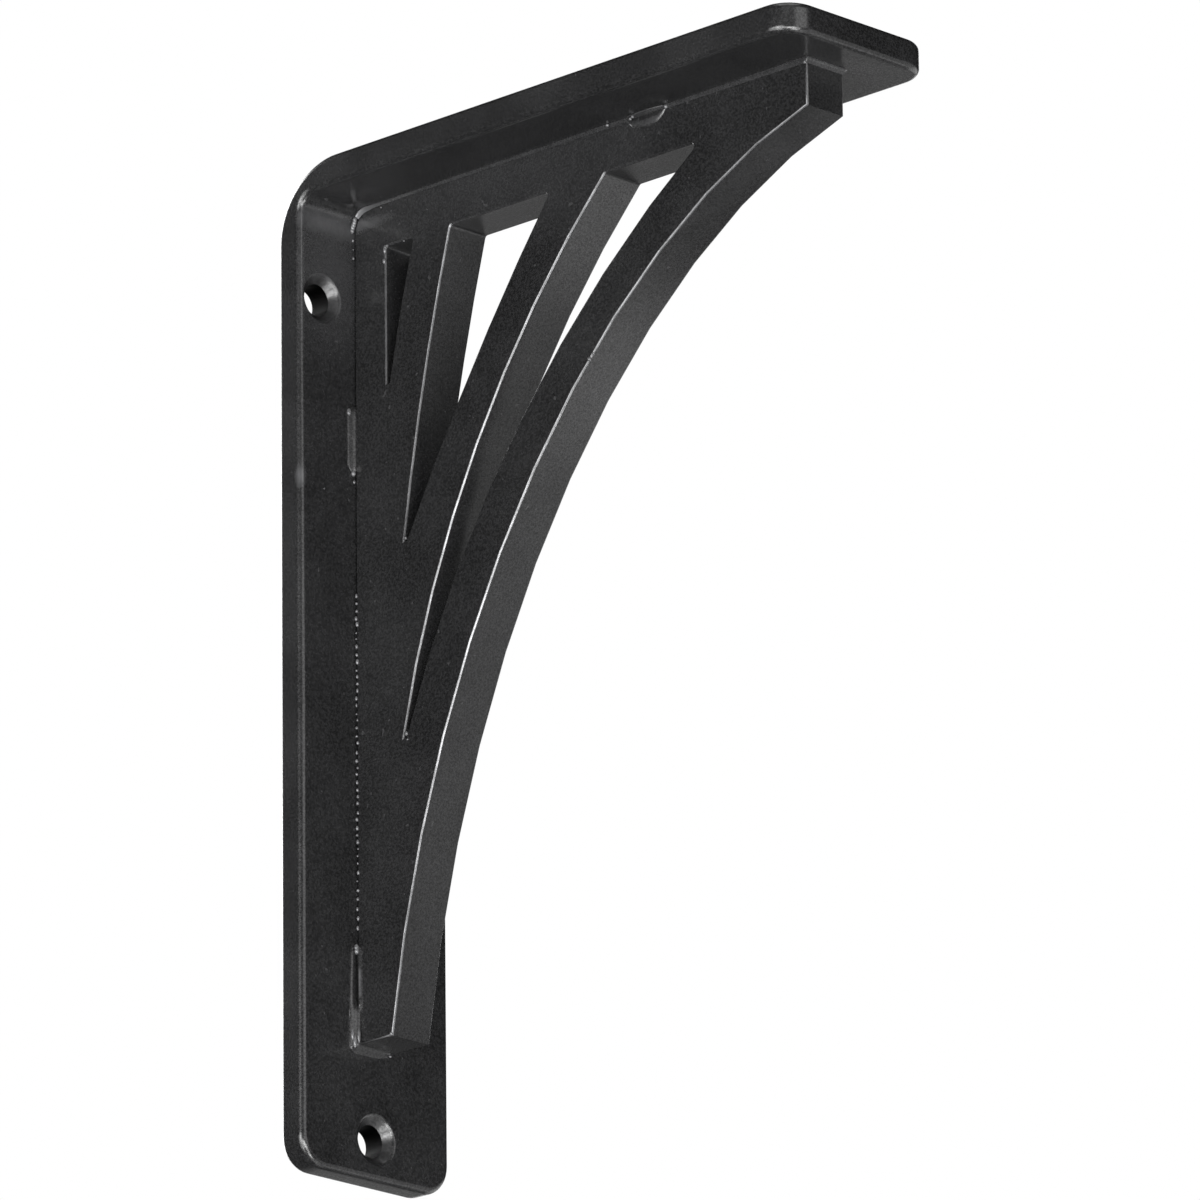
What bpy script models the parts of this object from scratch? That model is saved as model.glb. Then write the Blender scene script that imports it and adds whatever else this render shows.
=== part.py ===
"""Wall bracket of welded steel: a bent flat bar stiffened by a pierced, fan-shaped web plate.

Metres, +Z up. +X points out of the wall and Y runs along it. The origin is on the wall face,
in the middle of the bar's width and at half the bracket's height.
"""
from math import asin, cos, pi, radians, sin, tan

import bmesh
import bpy
from mathutils import Vector

MM = 0.001
UP = Vector((0, 0, 1))
OUT = Vector((1, 0, 0))
ACROSS = Vector((0, 1, 0))
CLEARANCE = 0.3 * MM

# The whole bracket
HEIGHT = 203.2 * MM
DEPTH = 139.7 * MM
TOP = HEIGHT / 2
BOTTOM = -HEIGHT / 2

# Bent flat bar
BAR_WIDTH = 40 * MM
BAR_THICKNESS = 6.3 * MM
BEND_OUTER_RADIUS = 16 * MM
BEND_INNER_RADIUS = 3.5 * MM
CORNER_RADIUS = 6.5 * MM
RIM_RADIUS = 1.4 * MM
SOFFIT = TOP - BAR_THICKNESS
SHARP_EDGE = radians(40)

# Countersunk screw holes in the wall leg, as places across the bar and up the wall
SCREW_HOLE_RADIUS = 3.3 * MM
COUNTERSINK_RADIUS = 5.1 * MM
UPPER_HOLE_ASIDE = 13.7 * MM
UPPER_HOLE_DROP = 26.4 * MM
LOWER_HOLE_RISE = 8.2 * MM
SCREW_HOLES = {
    "upper_left": (-UPPER_HOLE_ASIDE, TOP - UPPER_HOLE_DROP),
    "upper_right": (UPPER_HOLE_ASIDE, TOP - UPPER_HOLE_DROP),
    "lower": (0, BOTTOM + LOWER_HOLE_RISE),
}

# Web plate: its concave front edge is part of an ellipse, cut as flat facets from tip to foot
WEB_THICKNESS = 10.2 * MM
WEB_BACK = BAR_THICKNESS + CLEARANCE
WEB_TOP = SOFFIT - CLEARANCE
WEB_CORNER_RADIUS = 4.2 * MM
WEB_CHAMFER = 0.5 * MM
FRONT_CENTRE = Vector((156.1 * MM, TOP - 218.8 * MM))
FRONT_RADII = (143.1 * MM, 206.5 * MM)
FRONT_ANGLES = (radians(100.5), radians(168.3))
FRONT_FACETS = 12

# Slots of the fan: top corners as distances from the wall, the low point, and how far each
# long side bows towards the wall
SLOT_TOP = TOP - 15.8 * MM
SLOT_END_WIDTH = 0.7 * MM
SLOT_CORNER_RADIUS = 0.7 * MM
SLOTS = {
    "slot_near": dict(left=15.3 * MM, right=22.8 * MM, end=15.3 * MM, drop=44.2 * MM,
                      left_bow=0, right_bow=0.3 * MM, facets=2),
    "slot_middle": dict(left=33.3 * MM, right=60.7 * MM, end=19.9 * MM, drop=77.7 * MM,
                        left_bow=1.0 * MM, right_bow=1.6 * MM, facets=5),
    "slot_far": dict(left=75.8 * MM, right=101.1 * MM, end=19.5 * MM, drop=117.8 * MM,
                     left_bow=8.5 * MM, right_bow=10.6 * MM, facets=8),
}

# Weld beads: where they run, as distances below the top face for the upright ones and from the
# wall for the top ones, and how far they reach over the bar and over the plate
BEAD_TAPER = 2.0 * MM
BEAD_END_SIZE = 0.5
BEAD_SECTION_STEPS = 4
BEAD_FULLNESS = 0.55
MIDDLE_BEAD = (46.8 * MM, 60.8 * MM)
MIDDLE_LEGS = (2.1 * MM, 1.1 * MM)
TOP_BEAD = (82.5 * MM, 92.5 * MM)
TOP_LEGS = (1.1 * MM, 3.0 * MM)
LOW_BEAD = (157.0 * MM, 172.0 * MM)
LOW_LEGS = (2.3 * MM, 1.3 * MM)
FOOT_BEAD_END = 3.9 * MM


def remove_all_objects():
    """Clears the scene."""
    for old in list(bpy.data.objects):
        bpy.data.objects.remove(old, do_unlink=True)


def painted_steel(name, roughness):
    """Steel under satin black powder paint."""
    material = bpy.data.materials.new(name)
    material.use_nodes = True
    shader = material.node_tree.nodes["Principled BSDF"]
    shader.inputs["Base Color"].default_value = (0.032, 0.032, 0.034, 1)
    shader.inputs["Roughness"].default_value = roughness
    shader.inputs["Metallic"].default_value = 0
    return material


def add_object(name, bm, material=None):
    """Turns a bmesh into a named object in the scene."""
    bmesh.ops.recalc_face_normals(bm, faces=bm.faces)
    mesh = bpy.data.meshes.new(name)
    bm.to_mesh(mesh)
    bm.free()
    built = bpy.data.objects.new(name, mesh)
    bpy.context.collection.objects.link(built)
    if material:
        mesh.materials.append(material)
        mesh.shade_smooth()
        mesh.set_sharp_from_angle(angle=SHARP_EDGE)
    return built


def cut(built, cutter):
    """Cuts one object with another, which is then only a guide."""
    cutter.hide_render = True
    cutter.display_type = "WIRE"
    boolean = built.modifiers.new("cut_" + cutter.name, "BOOLEAN")
    boolean.object = cutter
    boolean.operation = "DIFFERENCE"
    boolean.solver = "EXACT"


def arc(centre, radii, start, end, steps):
    """Points along part of an ellipse in the side view, angles counted from +X towards +Z."""
    turns = [start + (end - start) * step / steps for step in range(steps + 1)]
    return [centre + Vector((radii[0] * cos(turn), radii[1] * sin(turn))) for turn in turns]


def bowed(start, end, bow, steps):
    """Points along a shallow arc from a higher to a lower point, bowed towards the wall."""
    if not bow:
        return [start, end]
    chord = end - start
    along = chord.normalized()
    aside = Vector((along.y, -along.x))
    radius = (chord.length ** 2 / 4 + bow ** 2) / (2 * bow)
    half_turn = asin(chord.length / 2 / radius)
    middle = (start + end) / 2 - aside * (radius - bow)
    turns = [half_turn * (2 * step / steps - 1) for step in range(steps + 1)]
    return [middle + aside * radius * cos(turn) + along * radius * sin(turn) for turn in turns]


def rounded(before, corner, after, radius, steps):
    """Points that round off a corner between two neighbouring points."""
    to_before = (before - corner).normalized()
    to_after = (after - corner).normalized()
    half_angle = to_before.angle(to_after) / 2
    setback = radius / tan(half_angle)
    centre = corner + (to_before + to_after).normalized() * radius / sin(half_angle)
    first = (corner + to_before * setback - centre).normalized()
    last = (corner + to_after * setback - centre).normalized()
    return [centre + first.slerp(last, step / steps) * radius for step in range(steps + 1)]


def extrude_outline(bm, points, low, high):
    """Extrudes a side-view outline along Y from low to high and returns the two end faces."""
    first = bm.faces.new([bm.verts.new((point.x, low, point.y)) for point in points])
    made = bmesh.ops.extrude_face_region(bm, geom=[first])
    moved = [element for element in made["geom"] if isinstance(element, bmesh.types.BMVert)]
    bmesh.ops.translate(bm, verts=moved, vec=ACROSS * (high - low))
    last = next(element for element in made["geom"] if isinstance(element, bmesh.types.BMFace))
    return first, last


def loft(sections):
    """Closed solid through a run of matching outlines in space."""
    bm = bmesh.new()
    end = bm.faces.new([bm.verts.new(point) for point in sections[0]])
    for number, section in enumerate(sections[1:]):
        made = bmesh.ops.extrude_face_region(bm, geom=[end])
        if number:
            bmesh.ops.delete(bm, geom=[end], context="FACES_ONLY")
        end = next(part for part in made["geom"] if isinstance(part, bmesh.types.BMFace))
        for vert, point in zip(end.verts, section):
            vert.co = point
    return bm


def bevel_edges(bm, edges, radius, segments):
    """Rounds edges to an even radius."""
    bmesh.ops.bevel(bm, geom=edges, offset=radius, offset_type="OFFSET", segments=segments,
                    profile=0.5, affect="EDGES", material=-1, clamp_overlap=True)


def bar_outline():
    """Side view of the bar, bent through a right angle."""
    outer_centre = Vector((BEND_OUTER_RADIUS, TOP - BEND_OUTER_RADIUS))
    inner_centre = Vector((BAR_THICKNESS + BEND_INNER_RADIUS, SOFFIT - BEND_INNER_RADIUS))
    outer_radii = (BEND_OUTER_RADIUS, BEND_OUTER_RADIUS)
    inner_radii = (BEND_INNER_RADIUS, BEND_INNER_RADIUS)
    outline = [Vector((0, BOTTOM))]
    outline += arc(outer_centre, outer_radii, pi, pi / 2, 10)
    outline += [Vector((DEPTH, TOP)), Vector((DEPTH, SOFFIT))]
    outline += arc(inner_centre, inner_radii, pi / 2, pi, 4)
    outline += [Vector((BAR_THICKNESS, BOTTOM))]
    return outline


def is_bar_corner(edge):
    """Whether an edge runs through the bar's thickness at one of its two cut ends."""
    start, end = (vert.co for vert in edge.verts)
    tolerance = 0.01 * MM
    through_leg = all(abs(point.z - BOTTOM) < tolerance for point in (start, end))
    through_top = all(abs(point.x - DEPTH) < tolerance for point in (start, end))
    return (through_leg or through_top) and abs(start.y - end.y) < tolerance


def screw_hole_cutter(name, aside, height):
    """Countersunk hole through the wall leg, its cone opening away from the wall."""
    cone_depth = COUNTERSINK_RADIUS - SCREW_HOLE_RADIUS
    past = 1 * MM
    profile = [
        (-past, 0),
        (-past, SCREW_HOLE_RADIUS),
        (BAR_THICKNESS - cone_depth, SCREW_HOLE_RADIUS),
        (BAR_THICKNESS + past, COUNTERSINK_RADIUS + past),
        (BAR_THICKNESS + past, 0),
    ]
    bm = bmesh.new()
    verts = [bm.verts.new((along, 0, radius)) for along, radius in profile]
    edges = [bm.edges.new(pair) for pair in zip(verts, verts[1:])]
    bmesh.ops.spin(bm, geom=verts + edges, axis=OUT, cent=(0, 0, 0), angle=2 * pi, steps=32,
                   use_merge=True)
    bmesh.ops.remove_doubles(bm, verts=bm.verts, dist=0.001 * MM)
    bmesh.ops.translate(bm, verts=bm.verts, vec=(0, aside, height))
    return add_object("hole_" + name, bm)


def bent_bar():
    """Flat bar bent into a wall leg and a top leg, edges softened and corners rounded."""
    bm = bmesh.new()
    extrude_outline(bm, bar_outline(), -BAR_WIDTH / 2, BAR_WIDTH / 2)
    bmesh.ops.recalc_face_normals(bm, faces=bm.faces)
    bevel_edges(bm, [edge for edge in bm.edges if is_bar_corner(edge)], CORNER_RADIUS, 5)
    rims = [edge for edge in bm.edges if edge.calc_face_angle() > SHARP_EDGE]
    bevel_edges(bm, rims, RIM_RADIUS, 3)
    bar = add_object("bent_bar", bm, painted_steel("bar_paint", 0.42))
    for name, (aside, height) in SCREW_HOLES.items():
        cut(bar, screw_hole_cutter(name, aside, height))


def web_outline():
    """Side view of the plate: back edge, rounded corner, top edge, tip, faceted front and foot."""
    corner = Vector((WEB_BACK, WEB_TOP))
    front = arc(FRONT_CENTRE, FRONT_RADII, *FRONT_ANGLES, FRONT_FACETS)
    foot = Vector((WEB_BACK, front[-1].y))
    tip = Vector((front[0].x, WEB_TOP))
    return [foot] + rounded(foot, corner, tip, WEB_CORNER_RADIUS, 4) + [tip] + front


def slot_outline(left, right, end, drop, left_bow, right_bow, facets):
    """Side view of one slot, from its top left corner down to its end and back up."""
    low = TOP - drop
    left_side = bowed(Vector((left, SLOT_TOP)), Vector((end, low)), left_bow, facets)
    right_side = bowed(Vector((right, SLOT_TOP)), Vector((end + SLOT_END_WIDTH, low)),
                       right_bow, facets)
    corner = rounded(right_side[1], right_side[0], left_side[0], SLOT_CORNER_RADIUS, 3)
    return left_side + right_side[:0:-1] + corner


def outset(points, distance):
    """Moves every side of a closed outline outwards by one distance."""
    area = sum(a.x * b.y - b.x * a.y for a, b in zip(points, points[1:] + points[:1]))
    sign = 1 if area > 0 else -1
    moved = []
    for before, point, after in zip(points[-1:] + points[:-1], points, points[1:] + points[:1]):
        first = (point - before).normalized()
        second = (after - point).normalized()
        first_out = Vector((first.y, -first.x)) * sign
        second_out = Vector((second.y, -second.x)) * sign
        miter = (first_out + second_out).normalized()
        moved.append(point + miter * distance / miter.dot(first_out))
    return moved


def slot_cutter(name, outline):
    """Cutter for a slot, flaring at both flanks of the plate to break the slot's edges."""
    flank = WEB_THICKNESS / 2
    past = 0.5 * MM
    flares = [(-flank - past, WEB_CHAMFER + past), (-flank + WEB_CHAMFER, 0)]
    flares += [(flank - WEB_CHAMFER, 0), (flank + past, WEB_CHAMFER + past)]
    sections = [[(point.x, place, point.y) for point in outset(outline, flare)]
                for place, flare in flares]
    return add_object(name, loft(sections))


def web_plate():
    """Thick plate set on edge under the top leg, pierced by the three slots of a fan."""
    bm = bmesh.new()
    flanks = extrude_outline(bm, web_outline(), -WEB_THICKNESS / 2, WEB_THICKNESS / 2)
    bmesh.ops.recalc_face_normals(bm, faces=bm.faces)
    bevel_edges(bm, [edge for flank in flanks for edge in flank.edges], WEB_CHAMFER, 1)
    web = add_object("web_plate", bm, painted_steel("web_paint", 0.45))
    for name, slot in SLOTS.items():
        cut(web, slot_cutter(name, slot_outline(**slot)))


def bead_section(legs, corner, bar_way, plate_way, size):
    """Points around a fillet bead that fills the corner between the bar and the plate."""
    root = corner + (bar_way + plate_way) * CLEARANCE
    bar_leg, plate_leg = ((leg - CLEARANCE) * size for leg in legs)
    points = [root]
    for step in range(BEAD_SECTION_STEPS + 1):
        turn = pi / 2 * step / BEAD_SECTION_STEPS
        flat = 1 / (cos(turn) + sin(turn))
        reach = flat + (1 - flat) * BEAD_FULLNESS
        over_bar = bar_way * bar_leg * cos(turn)
        over_plate = plate_way * plate_leg * sin(turn)
        points.append(root + (over_bar + over_plate) * reach)
    return points


def weld_bead(name, legs, stations):
    """Bead through a run of stations, each a corner point, the two ways out of it and a size."""
    bead = loft([bead_section(legs, *station) for station in stations])
    add_object(name, bead, painted_steel(name + "_paint", 0.38))


def straight_stations(start, end, bar_way, plate_way):
    """Stations of a straight bead that tapers at both ends."""
    along = (end - start).normalized() * BEAD_TAPER
    places = [(start, BEAD_END_SIZE), (start + along, 1), (end - along, 1), (end, BEAD_END_SIZE)]
    return [(place, bar_way, plate_way, size) for place, size in places]


def foot_stations():
    """Stations of the bead that comes down the left side of the foot and turns under it."""
    flank = WEB_THICKNESS / 2
    start = Vector((BAR_THICKNESS, -flank, TOP - LOW_BEAD[0]))
    corner = Vector((BAR_THICKNESS, -flank, web_outline()[0].y))
    end = corner + ACROSS * (flank + FOOT_BEAD_END)
    stations = [(start, -ACROSS, OUT, BEAD_END_SIZE), (start - UP * BEAD_TAPER, -ACROSS, OUT, 1)]
    for step in range(5):
        turn = pi / 2 * step / 4
        stations.append((corner, -ACROSS * cos(turn) - UP * sin(turn), OUT, 1))
    stations += [(end - ACROSS * BEAD_TAPER, -UP, OUT, 1), (end, -UP, OUT, BEAD_END_SIZE)]
    return stations


def weld_beads():
    """Short beads along the seams on both flanks, the low left one wrapped under the foot."""
    for side, way in (("left", -ACROSS), ("right", ACROSS)):
        flank = way * WEB_THICKNESS / 2
        high, low = (Vector((BAR_THICKNESS, 0, TOP - drop)) + flank for drop in MIDDLE_BEAD)
        weld_bead("weld_middle_" + side, MIDDLE_LEGS, straight_stations(high, low, way, OUT))
        near, far = (Vector((place, 0, SOFFIT)) + flank for place in TOP_BEAD)
        weld_bead("weld_top_" + side, TOP_LEGS, straight_stations(near, far, way, -UP))
    high, low = (Vector((BAR_THICKNESS, WEB_THICKNESS / 2, TOP - drop)) for drop in LOW_BEAD)
    weld_bead("weld_low_right", LOW_LEGS, straight_stations(high, low, ACROSS, OUT))
    weld_bead("weld_foot", LOW_LEGS, foot_stations())


remove_all_objects()
bent_bar()
web_plate()
weld_beads()
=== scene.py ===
"""Looks of the welded wall bracket: satin black paint over bent bar, pierced plate and welds."""

from math import asin, cos, pi, radians, sin, sqrt, tan
from random import Random

import bmesh
import bpy
from mathutils import Matrix, Vector, noise


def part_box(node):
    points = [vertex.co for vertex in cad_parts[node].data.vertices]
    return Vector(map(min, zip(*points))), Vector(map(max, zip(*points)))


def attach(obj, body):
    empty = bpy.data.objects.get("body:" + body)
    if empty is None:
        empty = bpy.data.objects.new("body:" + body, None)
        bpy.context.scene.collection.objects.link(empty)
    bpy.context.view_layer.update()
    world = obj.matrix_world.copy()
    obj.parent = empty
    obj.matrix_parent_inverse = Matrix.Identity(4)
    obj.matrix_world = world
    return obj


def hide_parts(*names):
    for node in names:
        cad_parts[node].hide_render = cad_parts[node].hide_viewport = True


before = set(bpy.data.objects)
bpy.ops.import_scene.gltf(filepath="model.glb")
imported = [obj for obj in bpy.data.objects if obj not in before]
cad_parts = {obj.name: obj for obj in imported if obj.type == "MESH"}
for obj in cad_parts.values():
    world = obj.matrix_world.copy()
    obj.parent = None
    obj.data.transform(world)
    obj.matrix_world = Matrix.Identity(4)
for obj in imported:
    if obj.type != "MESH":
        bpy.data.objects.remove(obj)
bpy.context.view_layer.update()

MM = 0.001
OUT = Vector((1, 0, 0))
ACROSS = Vector((0, 1, 0))
UP = Vector((0, 0, 1))
BODY = "root"

# Places read from the frame
BAR_LOW, BAR_HIGH = (Vector(corner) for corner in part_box("bent_bar"))
WEB_LOW, WEB_HIGH = (Vector(corner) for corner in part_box("web_plate"))
TOP = BAR_HIGH.z
BOTTOM = BAR_LOW.z
DEPTH = BAR_HIGH.x
BAR_HALF_WIDTH = BAR_HIGH.y
FLANK = WEB_HIGH.y
FOOT = WEB_LOW.z

# Bent flat bar
BAR_THICKNESS = 6.3 * MM
SOFFIT = TOP - BAR_THICKNESS
BEND_OUTER_RADIUS = 16 * MM
BEND_INNER_RADIUS = 3.5 * MM
CORNER_RADIUS = 6.5 * MM
RIM_RADIUS = 1.4 * MM
OUTER_BEND_STEPS = 24
INNER_BEND_STEPS = 8
CORNER_STEPS = 10
RIM_STEPS = 5

# Meshes: what counts as a sharp edge, as the same place, and as a flat face
SHARP_EDGE = radians(40)
TOLERANCE = 0.01 * MM
MERGE_DISTANCE = 0.001 * MM
FLAT_FACE = 0.99
FLAT_FACE_WEIGHT = 100

# Countersunk screw holes, as places across the bar and up the wall
SCREW_HOLE_RADIUS = 3.3 * MM
COUNTERSINK_RADIUS = 5.1 * MM
MOUTH_RADIUS = 0.45 * MM
# The softened mouth: how far behind the bar's face and outside the countersink, as shares
MOUTH_CURVE = ((1, -1), (0.35, -0.1), (0, 0.5))
HOLE_STEPS = 64
CUT_PAST = 1 * MM
SCREW_HOLES = (
    (-13.7 * MM, TOP - 26.4 * MM),
    (13.7 * MM, TOP - 26.4 * MM),
    (0, BOTTOM + 8.2 * MM),
)

# Web plate
WEB_CORNER_RADIUS = 4.2 * MM
WEB_CORNER_STEPS = 8
WEB_EDGE_RADIUS = 0.5 * MM
WEB_EDGE_STEPS = 6
# The back edge is rounded less: points within this reach of it stand back by this share
BACK_EDGE_REACH = 1.01 * WEB_EDGE_RADIUS
BACK_EDGE_SHARE = 0.7
# The front follows part of an ellipse, in flat facets
FRONT_CENTRE = Vector((156.1 * MM, TOP - 218.8 * MM))
FRONT_RADII = (143.1 * MM, 206.5 * MM)
FRONT_ANGLES = (radians(100.5), radians(168.3))
FRONT_FACETS = 12

# Slots: the walls' distances from the wall at the top, where the narrow low end is, how far it
# is below the top face, and how far each wall bows towards the wall in flat facets
SLOT_TOP = TOP - 15.8 * MM
SLOT_END_WIDTH = 0.7 * MM
SLOT_CORNER_RADIUS = 0.7 * MM
SLOT_CORNER_STEPS = 5
SLOT_CUT_PAST = 0.5 * MM
SLOTS = (
    dict(left=15.3 * MM, right=22.8 * MM, end=15.3 * MM, drop=44.2 * MM,
         left_bow=0, right_bow=0.3 * MM, facets=2),
    dict(left=33.3 * MM, right=60.7 * MM, end=19.9 * MM, drop=77.7 * MM,
         left_bow=1.0 * MM, right_bow=1.6 * MM, facets=5),
    dict(left=75.8 * MM, right=101.1 * MM, end=19.5 * MM, drop=117.8 * MM,
         left_bow=8.5 * MM, right_bow=10.6 * MM, facets=8),
)

# Cross-sections of a bead that fills the corner between bar and plate, from its toe on the bar
# to its toe on the plate, as shares of how far it reaches over each
FULL_SECTION = ((1.0, 0.0), (0.97, 0.16), (0.87, 0.30), (0.72, 0.42), (0.56, 0.53),
                (0.42, 0.66), (0.31, 0.80), (0.22, 0.92), (0.10, 0.99), (0.0, 1.0))
GROOVED_SECTION = ((1.0, 0.0), (0.97, 0.14), (0.82, 0.27), (0.56, 0.27), (0.34, 0.20),
                   (-0.11, 0.07), (0.12, 0.30), (0.23, 0.40), (0.25, 0.66), (0.0, 1.0))
LENS_SECTION = ((1.0, 0.0), (0.95, 0.05), (0.70, 0.08), (0.36, 0.11), (0.14, 0.18),
                (0.16, 0.32), (0.25, 0.44), (0.28, 0.56), (0.20, 0.78), (0.0, 1.0))
HOLLOW_SECTION = ((1.0, 0.0), (0.72, 0.06), (0.47, 0.18), (0.27, 0.36), (0.12, 0.62), (0.0, 1.0))
ROOT_DEPTH = 0.5 * MM
SEAM_DEPTH = 1.2 * MM
BURIED = 0.12 * MM
BEAD_SPACING = 0.3 * MM
BEAD_END_SIZE = 0.12
BEAD_RIPPLE = 0.03
RIPPLES_PER_METRE = 600

# Welds, as distances below the top face or from the wall, and their reach over bar and plate
MIDDLE_BEAD = (46.8 * MM, 60.8 * MM)
MIDDLE_LEGS = (2.0 * MM, 0.8 * MM)
MIDDLE_TAPER = 2.4 * MM
LOW_BEAD = (157.0 * MM, 172.0 * MM)
LOW_LEGS = (2.2 * MM, 1.7 * MM)
LOW_TAPER = 2.0 * MM
FOOT_BEAD_END = 3.9 * MM
FOOT_BEAD_TAPER = 5.0 * MM
# The foot bead's reach over bar and plate and how deep its groove is, at distances along it
FOOT_BEAD = (
    (0, (1.7 * MM, 1.5 * MM, 1)),
    (11 * MM, (2.2 * MM, 1.9 * MM, 1)),
    (13.5 * MM, (2.2 * MM, 1.2 * MM, 0)),
    (20 * MM, (2.2 * MM, 1.1 * MM, 0)),
    (22 * MM, (1.9 * MM, 0.8 * MM, 0)),
    (31 * MM, (1.75 * MM, 0.6 * MM, 0)),
)
TOP_BEAD = (82.0 * MM, 92.5 * MM)
TOP_LEGS = (1.2 * MM, 3.3 * MM)
TOP_TAPER = 5.2 * MM

# Paint that closes the seam along the plate's top: its reach over bar and plate
START_LEGS = (0.3 * MM, 0.7 * MM)
CORNER_LEGS = (0.45 * MM, 1.25 * MM)
TIP_LEGS = (0.9 * MM, 1.2 * MM)
SEAM_LEGS = (
    (13 * MM, (0.3 * MM, 0.65 * MM)),
    (20 * MM, (0.3 * MM, 0.5 * MM)),
    (60 * MM, (0.4 * MM, 0.65 * MM)),
    (76 * MM, (0.6 * MM, 0.8 * MM)),
    (108 * MM, (0.65 * MM, 0.85 * MM)),
)
# The seam starts part of the way round the bend, where it swells over its first steps
SEAM_START = 0.8 * pi
SEAM_END = 0.5 * pi
SEAM_BEND_STEPS = 10
SEAM_SWELL_STEPS = 5
SEAM_STEPS = 120
TIP_CORNER_STEPS = 7
TIP_STEPS = 16

# Beads of paint and spatter: place from the wall, across and below the top face, radius, stretch
SPATTER = (
    (7.1, -5.5, 8.4, 0.45, 1.5), (7.0, -5.55, 8.9, 0.48, 1.5), (6.85, -5.6, 9.4, 0.5, 1.5),
    (6.7, -5.7, 9.9, 0.5, 1.5), (6.6, -5.75, 10.5, 0.46, 1.5), (6.5, -5.45, 12.5, 0.25, 1.4),
    (6.55, -5.4, 14.4, 0.18, 1.0), (6.55, -5.4, 16.2, 0.24, 1.5), (15.15, -5.0, 15.9, 0.36, 1.6),
    (15.05, -5.05, 16.5, 0.4, 2.0), (14.95, -5.1, 18.8, 0.42, 1.4), (20.4, -5.0, 15.9, 0.18, 1.0),
    (14.1, -5.1, 7.4, 0.2, 1.0), (20.3, -4.9, 77.2, 0.3, 1.0), (20.2, -4.9, 117.0, 0.4, 1.3),
    (20.6, -4.9, 118.3, 0.33, 1.0), (19.8, -4.9, 115.4, 0.25, 1.0), (77.3, -5.7, 6.6, 0.36, 1.0),
    (92.9, -5.5, 6.7, 0.42, 1.2), (83.7, -5.9, 7.0, 0.36, 1.0), (84.3, -5.9, 6.7, 0.34, 1.0),
    (129.7, -5.2, 7.1, 0.36, 1.0), (96.5, -3.9, 6.4, 0.2, 1.0), (6.35, -13.5, 65.7, 0.16, 1.0),
    (1.5, -19.8, 67.7, 0.2, 1.5), (6.45, -6.7, 48.4, 0.45, 1.8), (6.6, -5.7, 60.9, 0.5, 1.3),
    (6.5, -5.4, 62.6, 0.26, 1.6), (6.75, -5.6, 157.6, 0.5, 1.6), (6.8, -5.6, 158.2, 0.5, 1.6),
    (6.8, -6.8, 175.2, 0.36, 3.2), (7.0, -6.35, 176.6, 0.42, 3.2), (7.35, -5.65, 175.4, 0.38, 3.8),
    (15.6, -5.0, 176.5, 0.36, 1.0),
    (70.7, -4.9, 20.3, 0.2, 1.0), (71.1, -5.0, 52.7, 0.4, 1.3), (72.1, -4.9, 51.8, 0.28, 1.0),
    (6.6, 3.6, 177.7, 0.25, 1.0),
)

# The string of fine beads down the wall seam, sparser on the right side
SPATTER_SEED = 11
SEAM_BEADS = (86 * MM, 155 * MM)
SEAM_BEAD_SIDES = ((-1, 1), (1, 2.5))
SEAM_BEAD_STEP = (1.2 * MM, 2.0 * MM)
SEAM_BEAD_RADIUS = (0.17 * MM, 0.36 * MM)
SEAM_BEAD_STRETCH = (1.0, 1.9)
SEAM_BEAD_OUT = (0.25 * MM, 0.6 * MM)
SEAM_BEAD_ASIDE = 0.05 * MM

# Paint: full thickness; paler, for a rubbed spot and for painted reflections; and so thin on an
# edge that the steel shows through, paler there as a painted highlight
BLACK = (0.0113, 0.0113, 0.0116, 1)
RUBBED_AND_SHEEN = (0.060, 0.060, 0.062, 1)
THIN_PAINT_HIGHLIGHT = (0.16, 0.16, 0.165, 1)
THIN_EDGE_METAL = 0.65
PAINT_ROUGHNESS = 0.22
WELD_ROUGHNESS = 0.24
SPECULAR_LEVEL = 0.36

# Screw holes are duller than the bar, and their bores carry painted shade: near black, no gloss
CONE_MARK = 0.5
BORE_MARK = 1
HOLE_DULLNESS = 0.24
BORE_SHADE = (0.004, 0.004, 0.004, 1)

# Patterns in the paint, as features a metre: fine grains of tone and gloss, orange peel, slow
# drifts, specks of dust, ragged edges of spots, and patches where the thin paint is thinner and
# its painted highlight weaker
TONE_GRAIN = 2300
GLOSS_GRAIN = 2900
PEEL_GRAIN = 900
DUST_GRAIN = 900
RAGGED_GRAIN = 700
PATCH_GRAIN = 330
DRIFT_GRAIN = 70
# What each does, over the range that most of a noise falls in
NOISE_RANGE = (0.3, 0.7)
TONE_RANGE = (0.6, 1.4)
GLOSS_RANGE = (0.0, 0.64)
DRIFT_TONE = (-0.12, 0.16)
DRIFT_ROUGHNESS = (-0.02, 0.03)
RAGGED_RANGE = (-0.05, 0.05)
PATCH_NOISE = (0.35, 0.65)
PATCH_RANGE = (0.55, 1.0)
DUST_NOISE = (0.83, 0.87)
DUST_TONE = 1.5
PEEL_HEIGHT = 0.0045 * MM
GRAIN_HEIGHT = 0.4

# How thin the paint is, and how strong a painted highlight is, from 0 to 1, and how sharply
# that falls off
THIN_AND_HIGHLIGHT_FALLOFF = 3
# Spatter beads carry a painted highlight, pale and metallic all over
SPATTER_HIGHLIGHT = 0.85
# Painted highlight over the top beads, from the bar down to the plate: weak in the hollow
LENS_HIGHLIGHT = ((0, [0.62]), (0.08, [0.55]), (0.2, [0.2]), (0.36, [0.2]), (0.5, [0.5]),
                 (0.8, [0.5]), (1, [0]))
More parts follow.
